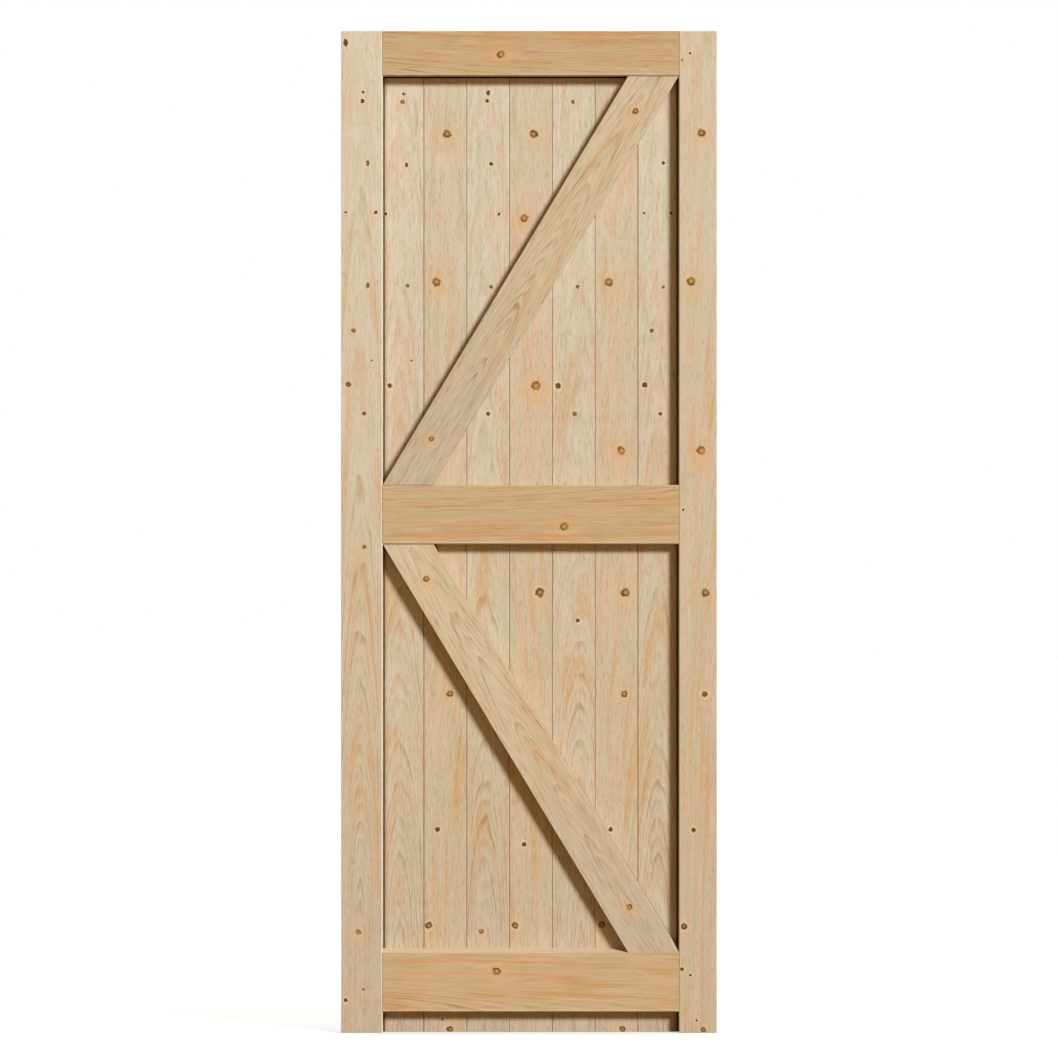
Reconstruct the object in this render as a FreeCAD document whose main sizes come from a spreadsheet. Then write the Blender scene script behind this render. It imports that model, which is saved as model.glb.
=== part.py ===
"""A framed, ledged and braced door leaf, as joiners make it, in millimetres.

Two stiles and a top rail of the full thickness carry a panel of tongued, grooved and V-jointed
boards. The boards sit in grooves in the stiles and the top rail, and run down over a thinner middle
rail and bottom rail to the foot of the door. Two braces stand between the rails. Every rail is
held by through tenons, and each tenon is spread by a pair of wedges driven from the stile's edge.

The leaf stands upright. X runs across it from the outer edge of the left stile, Y runs through it
from the braced face to the boarded face, and Z is up from its foot. Y is zero at mid-thickness.
"""

import FreeCAD
import Part
import math
import os
import Sketcher

# Driving dimensions, in millimetres.
SIZES = {
    # the leaf
    "door_height": 2032.0,
    "door_width": 762.0,
    "door_thickness": 44.0,
    # the frame: widths seen on the braced face, and heights above the foot
    "left_stile_width": 84.0,
    "right_stile_width": 77.0,
    "top_rail_depth": 91.0,
    "middle_rail_depth": 120.0,
    "middle_rail_rise": 991.0,
    "bottom_rail_depth": 120.0,
    "bottom_rail_rise": 42.0,
    "bottom_rail_fall": 8.0,
    "brace_width": 88.0,
    "frame_arris": 2.0,
    # the boards
    "board_thickness": 16.0,
    "board_cover": 87.0,
    "board_gap": 1.0,
    "panel_gap": 3.0,
    "vee_front": 4.0,
    "vee_back": 1.2,
    # tongues and the grooves that take them
    "tongue_thickness": 6.0,
    "tongue_length": 7.0,
    "tongue_set": 7.0,
    "groove_side_gap": 0.3,
    "groove_end_gap": 1.0,
    # tenons and their wedges
    "tenon_thickness": 14.0,
    "top_tenon_depth": 52.0,
    "top_tenon_rise": 14.0,
    "ledge_tenon_depth": 38.0,
    "ledge_tenon_margin": 10.0,
    "wedge_length": 62.0,
    "wedge_butt": 6.0,
    "wedge_tip": 1.0,
}

# Places worked out from the driving dimensions, written as expressions on the sheet.
FOOT = "0"
HEAD = "sizes.door_height"
LEFT_SHOULDER = "sizes.left_stile_width"
RIGHT_SHOULDER = "(sizes.door_width - sizes.right_stile_width)"
PANEL_WIDTH = f"({RIGHT_SHOULDER} - {LEFT_SHOULDER})"
BRACED_FACE = "(-sizes.door_thickness / 2)"
BOARDED_FACE = "(sizes.door_thickness / 2)"
BOARD_BACK = f"({BOARDED_FACE} - sizes.board_thickness)"
LEDGE_THICKNESS = "(sizes.door_thickness - sizes.board_thickness)"
TENON_FACE = f"({BOARD_BACK} - sizes.tenon_thickness)"
TONGUE_BACK = f"({BOARD_BACK} + sizes.tongue_set - sizes.tongue_thickness / 2)"
TONGUE_FRONT = f"({TONGUE_BACK} + sizes.tongue_thickness)"
GROOVE_BACK = f"({TONGUE_BACK} - sizes.groove_side_gap)"
GROOVE_FRONT = f"({TONGUE_FRONT} + sizes.groove_side_gap)"
GROOVE_DEPTH = "(sizes.tongue_length + sizes.groove_end_gap)"
TOP_RAIL_LOW = "(sizes.door_height - sizes.top_rail_depth)"
MIDDLE_RAIL_LOW = "sizes.middle_rail_rise"
MIDDLE_RAIL_HIGH = "(sizes.middle_rail_rise + sizes.middle_rail_depth)"
BOTTOM_RAIL_LOW = "sizes.bottom_rail_rise"
BOTTOM_RAIL_HIGH = "(sizes.bottom_rail_rise + sizes.bottom_rail_depth)"
BOARD_TOP = f"({TOP_RAIL_LOW} - sizes.panel_gap)"
HALF_GAP = "(sizes.board_gap / 2)"
BOARD_TONGUE = "sizes.tongue_length"
PANEL_TONGUE = "(sizes.tongue_length + sizes.panel_gap)"
PANEL_REACH = "(sizes.panel_gap - sizes.groove_side_gap)"
JOINT_REACH = f"(sizes.board_gap + {GROOVE_DEPTH} - sizes.groove_side_gap)"

doc = FreeCAD.newDocument("framed_ledged_braced_door")
pieces = []


def make_sheet():
    """The spreadsheet that holds the driving dimensions, one alias a row."""
    sheet = doc.addObject("Spreadsheet::Sheet", "sizes")
    for row, (alias, value) in enumerate(SIZES.items(), start=1):
        sheet.set(f"A{row}", alias)
        sheet.set(f"B{row}", str(value))
        sheet.setAlias(f"B{row}", alias)
    doc.recompute()
    return sheet


def new_piece(label):
    """An empty body for one piece of timber."""
    body = doc.addObject("PartDesign::Body", label)
    body.Label = label
    pieces.append(body)
    return body


def outline(body, name, plane, loops, offset="0"):
    """A sketch of closed straight-sided loops on one of the body's own planes, moved along the
    plane's normal by offset. Each corner is a pair of expressions and is held by two dimensions."""
    sketch = body.newObject("Sketcher::SketchObject", name)
    support = next(f for f in body.Origin.OriginFeatures if f.Role == plane)
    sketch.AttachmentSupport = [(support, "")]
    sketch.MapMode = "FlatFace"
    sketch.setExpression("AttachmentOffset.Base.z", offset)
    for corners in loops:
        count = len(corners)
        first = sketch.GeometryCount
        turn = 2 * math.pi / count
        start = [FreeCAD.Vector(math.cos(i * turn), math.sin(i * turn), 0) for i in range(count)]
        for i in range(count):
            sketch.addGeometry(Part.LineSegment(start[i], start[(i + 1) % count]))
        for i in range(count):
            following = first + (i + 1) % count
            sketch.addConstraint(Sketcher.Constraint("Coincident", first + i, 2, following, 1))
        for i, (across, along) in enumerate(corners):
            for kind, expression in (("DistanceX", across), ("DistanceY", along)):
                place = Sketcher.Constraint(kind, -1, 1, first + i, 1, 1.0)
                held = sketch.addConstraint(place)
                sketch.setExpression(f"Constraints[{held}]", expression)
    return sketch


def pad(body, name, sketch, length):
    """Timber added along the sketch's normal."""
    feature = body.newObject("PartDesign::Pad", name)
    feature.Profile = sketch
    feature.setExpression("Length", length)
    sketch.Visibility = False
    return feature


def pocket(body, name, sketch, length=None):
    """Timber cut away against the sketch's normal, or right through along it with no length."""
    feature = body.newObject("PartDesign::Pocket", name)
    feature.Profile = sketch
    if length is None:
        feature.Type = "ThroughAll"
        feature.Reversed = True
    else:
        feature.setExpression("Length", length)
    sketch.Visibility = False
    return feature


def rectangle(low_across, low_along, high_across, high_along):
    """The four corners of an upright rectangle."""
    return [
        (low_across, low_along),
        (high_across, low_along),
        (high_across, high_along),
        (low_across, high_along),
    ]


def from_edge(side, distance):
    """The X of a point at that distance in from the outer edge of the leaf on that side."""
    return distance if side == "left" else f"(sizes.door_width - {distance})"


def stile_width(side):
    return f"sizes.{side}_stile_width"


def tenon_spans(rail):
    """The low and high Z of each through tenon of a rail: one on the top rail, and a pair, one
    above the other, on each of the ledges."""
    if rail == "top_rail":
        low = f"({TOP_RAIL_LOW} + sizes.top_tenon_rise)"
        return [(low, f"({low} + sizes.top_tenon_depth)")]
    low = f"(sizes.{rail}_rise + sizes.ledge_tenon_margin)"
    high = f"(sizes.{rail}_rise + sizes.{rail}_depth - sizes.ledge_tenon_margin)"
    return [
        (low, f"({low} + sizes.ledge_tenon_depth)"),
        (f"({high} - sizes.ledge_tenon_depth)", high),
    ]


RAILS = ("top_rail", "middle_rail", "bottom_rail")
SIDES = ("left", "right")


def mortise(side, low, high):
    """A mortise right through a stile, flared above and below at the outer edge for the wedges."""
    outer = from_edge(side, "0")
    wedge_end = from_edge(side, "sizes.wedge_length")
    inner = from_edge(side, stile_width(side))
    return [
        (outer, f"{low} - sizes.wedge_butt"),
        (wedge_end, f"{low} - sizes.wedge_tip"),
        (wedge_end, low),
        (inner, low),
        (inner, high),
        (wedge_end, high),
        (wedge_end, f"{high} + sizes.wedge_tip"),
        (outer, f"{high} + sizes.wedge_butt"),
    ]


def make_stile(side):
    """A stile: grooved for the boards, with its inner edges eased, and mortised for the rails."""
    body = new_piece(f"{side}_stile")

    def inward(distance):
        return from_edge(side, distance)

    inner = stile_width(side)
    groove_floor = f"({inner} - {GROOVE_DEPTH})"
    section = [
        (inward("0"), BRACED_FACE),
        (inward(f"({inner} - sizes.frame_arris)"), BRACED_FACE),
        (inward(inner), f"{BRACED_FACE} + sizes.frame_arris"),
        (inward(inner), GROOVE_BACK),
        (inward(groove_floor), GROOVE_BACK),
        (inward(groove_floor), GROOVE_FRONT),
        (inward(inner), GROOVE_FRONT),
        (inward(inner), f"{BOARDED_FACE} - sizes.vee_front"),
        (inward(f"({inner} - sizes.vee_front)"), BOARDED_FACE),
        (inward("0"), BOARDED_FACE),
    ]
    profile = outline(body, f"{side}_stile_section", "XY_Plane", [section])
    pad(body, f"{side}_stile_length", profile, HEAD)
    holes = [mortise(side, low, high) for rail in RAILS for low, high in tenon_spans(rail)]
    cuts = outline(body, f"{side}_stile_mortises", "XZ_Plane", holes, f"-{TENON_FACE}")
    pocket(body, f"{side}_stile_mortising", cuts, "sizes.tenon_thickness")


def rail_section(rail):
    """The section of a rail across its length, as Y and Z. The top rail is grooved below for the
    heads of the boards. The bottom rail's upper edge falls away from the boards to shed water."""
    arris_face = f"{BRACED_FACE} + sizes.frame_arris"
    if rail == "top_rail":
        groove_top = f"{TOP_RAIL_LOW} + {GROOVE_DEPTH}"
        return [
            (arris_face, TOP_RAIL_LOW),
            (GROOVE_BACK, TOP_RAIL_LOW),
            (GROOVE_BACK, groove_top),
            (GROOVE_FRONT, groove_top),
            (GROOVE_FRONT, TOP_RAIL_LOW),
            (f"{BOARDED_FACE} - sizes.vee_front", TOP_RAIL_LOW),
            (BOARDED_FACE, f"{TOP_RAIL_LOW} + sizes.vee_front"),
            (BOARDED_FACE, HEAD),
            (BRACED_FACE, HEAD),
            (BRACED_FACE, f"{TOP_RAIL_LOW} + sizes.frame_arris"),
        ]
    if rail == "middle_rail":
        return [
            (arris_face, MIDDLE_RAIL_LOW),
            (BOARD_BACK, MIDDLE_RAIL_LOW),
            (BOARD_BACK, MIDDLE_RAIL_HIGH),
            (arris_face, MIDDLE_RAIL_HIGH),
            (BRACED_FACE, f"{MIDDLE_RAIL_HIGH} - sizes.frame_arris"),
            (BRACED_FACE, f"{MIDDLE_RAIL_LOW} + sizes.frame_arris"),
        ]
    return [
        (arris_face, BOTTOM_RAIL_LOW),
        (BOARD_BACK, BOTTOM_RAIL_LOW),
        (BOARD_BACK, f"{BOTTOM_RAIL_HIGH} + sizes.bottom_rail_fall"),
        (BRACED_FACE, BOTTOM_RAIL_HIGH),
        (BRACED_FACE, f"{BOTTOM_RAIL_LOW} + sizes.frame_arris"),
    ]


def make_rail(rail):
    """A rail between the stiles, with its tenons, and on the top rail the tongues that close the
    heads of the stiles' grooves."""
    body = new_piece(rail)
    section = outline(body, f"{rail}_section", "YZ_Plane", [rail_section(rail)], LEFT_SHOULDER)
    pad(body, f"{rail}_length", section, PANEL_WIDTH)
    tenons = [
        rectangle(from_edge(side, "0"), low, from_edge(side, stile_width(side)), high)
        for side in SIDES
        for low, high in tenon_spans(rail)
    ]
    cheeks = outline(body, f"{rail}_tenon_outlines", "XZ_Plane", tenons, f"-{BOARD_BACK}")
    pad(body, f"{rail}_tenons", cheeks, "sizes.tenon_thickness")
    if rail == "top_rail":
        tongues = []
        for side in SIDES:
            shoulder = stile_width(side)
            tip = from_edge(side, f"({shoulder} - sizes.tongue_length)")
            tongues.append(rectangle(tip, TOP_RAIL_LOW, from_edge(side, shoulder), HEAD))
        ends = outline(body, f"{rail}_tongue_outlines", "XZ_Plane", tongues, f"-{TONGUE_FRONT}")
        pad(body, f"{rail}_end_tongues", ends, "sizes.tongue_thickness")


def make_wedges(rail, side):
    """The wedges that spread a rail's tenons in one stile, in pairs, numbered from the lowest."""
    number = 0
    for low, high in tenon_spans(rail):
        for edge, sign in ((low, "-"), (high, "+")):
            number += 1
            label = f"{rail}_{side}_wedge_{number}"
            body = new_piece(label)
            outer = from_edge(side, "0")
            tip = from_edge(side, "sizes.wedge_length")
            corners = [
                (outer, edge),
                (tip, edge),
                (tip, f"{edge} {sign} sizes.wedge_tip"),
                (outer, f"{edge} {sign} sizes.wedge_butt"),
            ]
            shape = outline(body, f"{label}_outline", "XZ_Plane", [corners], f"-{BOARD_BACK}")
            pad(body, f"{label}_thickness", shape, "sizes.tenon_thickness")


def brace_end(rise):
    """The level length of a brace's end cut. A brace of width b fills the panel's width w from
    corner to corner over that rise r, so its end e and its slope hold b * slant = e * r, where
    the slant is the length of the side that runs across w - e and up r."""
    wide = "sizes.brace_width"
    root = f"sqrt({wide}^2 * {PANEL_WIDTH}^2 + ({rise}^2 - {wide}^2) * ({PANEL_WIDTH}^2 + {rise}^2))"
    return f"({wide} * ({root} - {wide} * {PANEL_WIDTH}) / ({rise}^2 - {wide}^2))"


def make_brace(label, low, high, foot_side):
    """A brace from the stile on the foot side at the low rail to the other stile at the high rail,
    with level ends that come to a point against the stiles."""
    body = new_piece(label)
    end = brace_end(f"({high} - {low})")
    if foot_side == "left":
        corners = [
            (LEFT_SHOULDER, low),
            (f"{LEFT_SHOULDER} + {end}", low),
            (RIGHT_SHOULDER, high),
            (f"{RIGHT_SHOULDER} - {end}", high),
        ]
    else:
        corners = [
            (f"{RIGHT_SHOULDER} - {end}", low),
            (RIGHT_SHOULDER, low),
            (f"{LEFT_SHOULDER} + {end}", high),
            (LEFT_SHOULDER, high),
        ]
    face = outline(body, f"{label}_face", "XZ_Plane", [corners], f"-{BOARD_BACK}")
    pad(body, f"{label}_thickness", face, LEDGE_THICKNESS)
    return body


def bevel_foot(body, label):
    """The foot of the lower brace is cut to sit on the sloping upper edge of the bottom rail."""
    slope = [
        (BRACED_FACE, BOTTOM_RAIL_HIGH),
        (BOARD_BACK, BOTTOM_RAIL_HIGH),
        (BOARD_BACK, f"{BOTTOM_RAIL_HIGH} + sizes.bottom_rail_fall"),
    ]
    cut = outline(body, f"{label}_foot_slope", "YZ_Plane", [slope])
    pocket(body, f"{label}_foot_cut", cut)


def make_board(number, left_line, width, first=False, last=False):
    """A board between two joint lines, tongued on the left and grooved on the right. The last
    board is tongued on both edges, for the stile. All are tongued at the head for the top rail.
    The panel's own edges stand a wider gap from the frame, so their tongues are longer by it. The
    head's tongue runs on to the left across the joint, so no light shows over the joint's head."""
    label = f"board_{number}"
    body = new_piece(label)
    left = "sizes.panel_gap" if first else HALF_GAP
    left_tongue = f"({left} - {PANEL_TONGUE if first else BOARD_TONGUE})"
    right = f"({width} - {'sizes.panel_gap' if last else HALF_GAP})"
    if last:
        right_tongue = f"({right} + {PANEL_TONGUE})"
        right_edge = [
            (right, TONGUE_BACK),
            (right_tongue, TONGUE_BACK),
            (right_tongue, TONGUE_FRONT),
            (right, TONGUE_FRONT),
        ]
        head_right = f"({right} + {PANEL_REACH})"
    else:
        groove_floor = f"({right} - {GROOVE_DEPTH})"
        right_edge = [
            (right, GROOVE_BACK),
            (groove_floor, GROOVE_BACK),
            (groove_floor, GROOVE_FRONT),
            (right, GROOVE_FRONT),
        ]
        head_right = groove_floor
    head_left = f"({left} - {PANEL_REACH if first else JOINT_REACH})"
    section = [
        (f"{left} + sizes.vee_back", BOARD_BACK),
        (f"{right} - sizes.vee_back", BOARD_BACK),
        (right, f"{BOARD_BACK} + sizes.vee_back"),
        *right_edge,
        (right, f"{BOARDED_FACE} - sizes.vee_front"),
        (f"{right} - sizes.vee_front", BOARDED_FACE),
        (f"{left} + sizes.vee_front", BOARDED_FACE),
        (left, f"{BOARDED_FACE} - sizes.vee_front"),
        (left, TONGUE_FRONT),
        (left_tongue, TONGUE_FRONT),
        (left_tongue, TONGUE_BACK),
        (left, TONGUE_BACK),
        (left, f"{BOARD_BACK} + sizes.vee_back"),
    ]
    profile = outline(body, f"{label}_section", "XY_Plane", [section])
    pad(body, f"{label}_length", profile, BOARD_TOP)
    head = [rectangle(head_left, TONGUE_BACK, head_right, TONGUE_FRONT)]
    tongue = outline(body, f"{label}_head_outline", "XY_Plane", head, BOARD_TOP)
    pad(body, f"{label}_head_tongue", tongue, PANEL_TONGUE)
    body.setExpression("Placement.Base.x", left_line)


def make_boards(sheet):
    """The panel: as many full boards as fit, with two boards ripped to the same width beside the
    stiles."""
    panel = sheet.get("door_width") - sheet.get("left_stile_width") - sheet.get("right_stile_width")
    full = math.floor(panel / sheet.get("board_cover")) - 1
    side_width = f"(({PANEL_WIDTH} - {full} * sizes.board_cover) / 2)"
    make_board(1, LEFT_SHOULDER, side_width, first=True)
    for i in range(full):
        line = f"{LEFT_SHOULDER} + {side_width} + {i} * sizes.board_cover"
        make_board(i + 2, line, "sizes.board_cover")
    line = f"{RIGHT_SHOULDER} - {side_width}"
    make_board(full + 2, line, side_width, last=True)


def check():
    """Stops the build if any object failed or any piece isn't one sound solid."""
    for item in doc.Objects:
        if "Invalid" in item.State or "Error" in item.State:
            raise RuntimeError(f"{item.Label} failed: {item.State}")
    for body in pieces:
        shape = body.Shape
        if shape.isNull() or not shape.isValid() or len(shape.Solids) != 1:
            raise RuntimeError(f"{body.Label} isn't one valid solid")


def export():
    os.makedirs("parts", exist_ok=True)
    for body in pieces:
        body.Shape.exportStep(os.path.join("parts", f"{body.Label}.step"))


def main():
    sheet = make_sheet()
    for side in SIDES:
        make_stile(side)
    for rail in RAILS:
        make_rail(rail)
        for side in SIDES:
            make_wedges(rail, side)
    make_brace("upper_brace", MIDDLE_RAIL_HIGH, TOP_RAIL_LOW, "left")
    lower_brace = make_brace("lower_brace", BOTTOM_RAIL_HIGH, MIDDLE_RAIL_LOW, "right")
    bevel_foot(lower_brace, "lower_brace")
    make_boards(sheet)
    doc.recompute()
    check()
    export()


main()
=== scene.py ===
"""The looks of a framed, ledged and braced door leaf of bare planed pine.

Every piece of timber is a section with eased corners, carried along a straight path from one end of
the piece to the other. Its grain is worked out in the piece's own directions: across it, through it
from the braced face, and along it. Lengths in this script are millimetres on the leaf, in the same
frame as the solids, and become metres where a mesh is made.
"""

import math
from collections import namedtuple

import bpy
import numpy as np
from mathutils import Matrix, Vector


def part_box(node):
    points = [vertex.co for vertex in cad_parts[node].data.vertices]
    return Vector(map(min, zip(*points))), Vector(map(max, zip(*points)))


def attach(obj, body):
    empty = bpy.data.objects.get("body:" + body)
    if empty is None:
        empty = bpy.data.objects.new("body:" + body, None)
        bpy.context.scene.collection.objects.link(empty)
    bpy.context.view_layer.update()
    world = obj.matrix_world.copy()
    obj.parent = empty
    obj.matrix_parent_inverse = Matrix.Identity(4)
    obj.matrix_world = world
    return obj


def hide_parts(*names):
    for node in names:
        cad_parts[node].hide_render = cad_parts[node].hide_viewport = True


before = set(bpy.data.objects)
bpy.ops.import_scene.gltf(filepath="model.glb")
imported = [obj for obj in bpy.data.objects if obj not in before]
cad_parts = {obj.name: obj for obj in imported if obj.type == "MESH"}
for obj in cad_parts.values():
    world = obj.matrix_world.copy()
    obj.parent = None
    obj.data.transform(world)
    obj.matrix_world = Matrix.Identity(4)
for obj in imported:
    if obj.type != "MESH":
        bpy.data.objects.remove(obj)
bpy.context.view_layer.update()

MM = 0.001


def corners_of(node):
    """The lowest and highest corner of a solid, in millimetres."""
    low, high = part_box(node)
    return np.array(low) / MM, np.array(high) / MM


# Places on the leaf, read from the solids.
LEFT_LOW, LEFT_HIGH = corners_of("left_stile")
RIGHT_LOW, RIGHT_HIGH = corners_of("right_stile")
MIDDLE_LOW, MIDDLE_HIGH = corners_of("middle_rail")
BOTTOM_LOW, BOTTOM_HIGH = corners_of("bottom_rail")
BRACED_FACE = LEFT_LOW[1]
BOARDED_FACE = LEFT_HIGH[1]
BOARD_BACK = MIDDLE_HIGH[1]
LEFT_SHOULDER = LEFT_HIGH[0]
RIGHT_SHOULDER = RIGHT_LOW[0]
HEAD = LEFT_HIGH[2]
PANEL_HEAD = corners_of("top_rail")[0][2]
TENON_BACK, TENON_FRONT = [corner[1] for corner in corners_of("top_rail_left_wedge_1")]
LEAF_MIDDLE = 0.5 * (LEFT_LOW + RIGHT_HIGH)
BOARDS = sorted(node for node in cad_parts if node.startswith("board_"))
RAILS = ("top_rail", "middle_rail", "bottom_rail")

# Sizes of the joints and mouldings, as in the solids.
FRAME_ARRIS = 2.0
VEE_FRONT = 4.0
VEE_BACK = 1.2
TONGUE_BACK = BOARD_BACK + 4.0
TONGUE_FRONT = BOARD_BACK + 10.0
TONGUE_LENGTH = 7.0
GROOVE_SIDE_GAP = 0.3
GROOVE_DEPTH = 8.0
GROOVE_BACK = TONGUE_BACK - GROOVE_SIDE_GAP
GROOVE_FRONT = TONGUE_FRONT + GROOVE_SIDE_GAP
BOARD_GAP = 1.0
PANEL_GAP = 3.0
PANEL_TONGUE = TONGUE_LENGTH + PANEL_GAP
PANEL_REACH = PANEL_GAP - GROOVE_SIDE_GAP
BOARD_SWELL = 0.3
JOINT_REACH = BOARD_GAP + GROOVE_DEPTH - GROOVE_SIDE_GAP
BOTTOM_RAIL_FALL = 8.0
BRACE_WIDTH = 88.0

# Each brace's foot and head, and the side its foot stands on.
BRACE_RUNS = {
    "upper_brace": (MIDDLE_HIGH[2], PANEL_HEAD, "left"),
    "lower_brace": (BOTTOM_HIGH[2] - BOTTOM_RAIL_FALL, MIDDLE_LOW[2], "right"),
}

# How finely the timber is divided, and how its corners are eased.
ACROSS_STEP = 6.0
ALONG_STEP = 10.0
ARC_STEPS = 3
CRISP = 0.5
CREASE = math.radians(50)
EASE = 0.9
SHARP_EASE = 0.4
END_EASE = 0.35
TONGUE_EASE = 0.2
BLOCK_END_SHARE = 0.8
ROOT = 2.0
MORTISE_SHOWN_DEPTH = 20.0
MORTISE_SLACK = 0.2

# How near to a line of a section a point counts as on it.
HAIR = 0.2

# How dark the painted shade is, from 0 to 1, in the joints, on the edges that stand on the boards,
# beside the stiles and under the braces' heads, and over what lengths it comes on. The seams are those
# beside and between the boards, from left to right.
BOARDED_SHADE = 0.6
LEFT_STILE_SHADE = 0.45
SEAM_SHADES = (0.35, 0.42, 0.06, 0.06, 0.06, 0.06, 0.42, 0.8)
SEAM_LEAD = 9.0
CORNER_SHADE = 0.5
FRAME_SHADE = 0.45
FRAME_SHADE_WIDTH = 7.0
BRACE_HEAD_SHADE = 0.45
BRACE_HEAD_LENGTH = 3.0

# How strongly a painted highlight lies on the arrises, from 0 to 1. On the bottom rail's slope it also
# stands for the paler sawn wood.
STILE_HIGHLIGHT = 0.6
RAIL_HIGHLIGHT = 0.25
RAIL_HIGHLIGHT_WIDTH = 5.0
SLOPE_HIGHLIGHT = 0.30

# The nails that hold the boards: their heads, and how they are set out on a board. The angles are
# those of a head's rings, from the one sunk in the board to the crown.
NAIL_RADIUS = 2.6
NAIL_DOME = 0.3
NAIL_SUNK = 1.0
NAIL_SIDES = 14
NAIL_ANGLES = (0, 0, 25, 50, 72)
NAIL_CREASE = math.radians(60)
NAIL_SPREAD = 0.27
NAIL_STAGGER = 14.0
NAILED_RUN = 0.45

# A knot: its place on the braced face from the leaf's left edge and foot, its radius, how live it is
# (0 is a dark dead knot, 1 a bright live one), and how far it is drawn out along the grain.
Knot = namedtuple("Knot", "across up radius life stretch", defaults=(0.15, 1.0))
KNOTS = {
    "left_stile": [
        (9, 2008, 4.5, 0.15, 1.6), (45, 1908, 3), (43, 1890, 4), (54, 1764, 3, 0.3, 1.8),
        (9, 1664, 2.5), (70, 1664, 3.5), (54, 1516, 3, 0.3, 1.8), (25, 1425, 4, 0.4),
        (62, 1364, 2), (15, 1315, 5, 0.3), (47, 1256, 4, 0.3), (47, 986, 4, 0.4),
        (35, 204, 5, 0.6), (45, 88, 2.5, 0.3), (9, 66, 4),
    ],
    "board_1": [
        (126, 1906, 3), (124, 1890, 4, 0.4), (132, 1762, 3, 0.2, 1.6), (90, 1662, 3),
        (134, 1516, 3.5, 0.4), (142, 1364, 2), (98, 1313, 5, 0.2),
    ],
    "board_2": [
        (215, 1825, 7.5, 0.5), (193, 1524, 8, 0.6), (221, 687, 6, 0.5), (195, 411, 4.5),
        (177, 216, 6.5, 0.4), (205, 25, 2.5), (221, 5, 6, 0.4),
    ],
    "board_3": [
        (298, 1908, 3.5, 0.1, 1.5), (296, 1892, 3.5), (304, 1764, 4), (320, 1662, 3),
        (304, 1514, 3.5, 0.4), (298, 1256, 4, 0.2), (284, 204, 4.5, 0.6),
    ],
    "board_4": [
        (391, 1825, 7.5, 0.5), (371, 1654, 7.5, 0.7), (395, 1313, 9, 0.9),
        (403, 893, 8, 0.45), (371, 381, 4.5), (353, 216, 6.5, 0.4),
    ],
    "board_5": [
        (470, 1890, 3, 0.3, 1.4), (480, 1514, 3.5, 0.3), (440, 1313, 5.5, 0.2),
        (474, 1256, 4, 0.4), (480, 836, 4, 0.2),
    ],
    "board_6": [
        (543, 1524, 8, 0.65), (569, 1181, 8, 0.85), (577, 893, 8, 0.5),
        (575, 687, 6, 0.5), (547, 411, 4.5), (529, 218, 6.5, 0.4), (571, 5, 6, 0.4),
    ],
    "board_7": [
        (654, 1766, 3.5), (615, 1664, 2.5), (670, 1664, 3), (654, 1514, 3, 0.4),
        (630, 1425, 4, 0.3), (617, 1315, 5, 0.2), (648, 1256, 3.5, 0.2),
    ],
    "right_stile": [
        (708, 1987, 2.5), (692, 1973, 2, 0.5), (731, 1825, 7.5, 0.5),
        (710, 1524, 8, 0.6), (731, 1181, 8, 0.85), (694, 1061, 2.5),
        (739, 893, 7.5, 0.5), (737, 687, 5.5, 0.3), (715, 411, 4.5), (696, 216, 6, 0.3),
        (691, 129, 3.5), (708, 117, 2.5), (721, 25, 2.5), (735, 6, 5, 0.4),
    ],
    "top_rail": [(324, 1985, 7.5, 0.75)],
    "middle_rail": [(452, 1027, 7.5, 0.7)],
    "bottom_rail": [(316, 125, 7.5, 0.6)],
    "upper_brace": [(597, 1870, 6, 0.5), (183, 1205, 5, 0.6)],
    "lower_brace": [(173, 921, 6, 0.6), (585, 255, 5.5, 0.6)],
}

# How a piece was cut from its log and has aged: where the log's heart lies across the piece, and where
# along it the heart sinks away, which draws nested arches; how much darker and warmer the piece grows
# towards its foot, and how grey its foot has turned. Then how far behind the braced face the heart
# lies, how wide a ring is, over what half-length and how steeply the heart sinks, how strongly the
# rings are marked, how far the grain wavers, and how long and strong its flecks are. A plain board has
# the values left out.
Grain = namedtuple(
    "Grain",
    "heart arch_at ripen dull behind ring arch_run climb mark waver dash fleck",
    defaults=(40, 3.6, 500, 0.020, 0.45, 1.0, 17, 0.9),
)

GRAINS = {
    "left_stile": (-4, 470, 0.66, 0.65, 24, 3.0, 340, 0.050, 1.0),
    "right_stile": (46, 800, 0.50, 0.30),
    "board_1": (-9, 480, 0.68, 0.55, 23, 3.0, 320, 0.050, 1.0),
    "board_2": (50, 900, 0.50, 0.25),
    "board_3": (-7, 475, 0.66, 0.55, 23, 3.0, 320, 0.050, 1.0),
    "board_4": (-48, 1000, 0.45, 0.25),
    "board_5": (14, 760, 0.55, 0.50, 34, 3.3, 320, 0.075, 0.85, 1.2, 17, 1.0),
    "board_6": (50, 700, 0.45, 0.40),
    "board_7": (0, 475, 0.68, 0.45, 23, 3.0, 320, 0.050, 1.0),
    "top_rail": (62, 60, 0.0, 0.0, 46, 3.4, 110, 0.050, 0.90, 3.2, 40, 0.85),
    "middle_rail": (-72, 560, 0.0, 0.0, 50, 3.6, 180, 0.030, 0.80, 2.6, 52, 0.75),
    "bottom_rail": (70, 90, 0.0, 0.0, 48, 3.5, 160, 0.040, 0.80, 2.8, 46, 0.75),
    "upper_brace": (2, 470, 0.60, 0.55, 24, 3.0, 300, 0.050, 0.90, 1.0, 32, 1.10),
    "lower_brace": (4, 440, 0.60, 0.55, 24, 3.0, 300, 0.050, 0.90, 1.0, 34, 1.10),
}
HEART_DRIFT = 0.03

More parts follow.
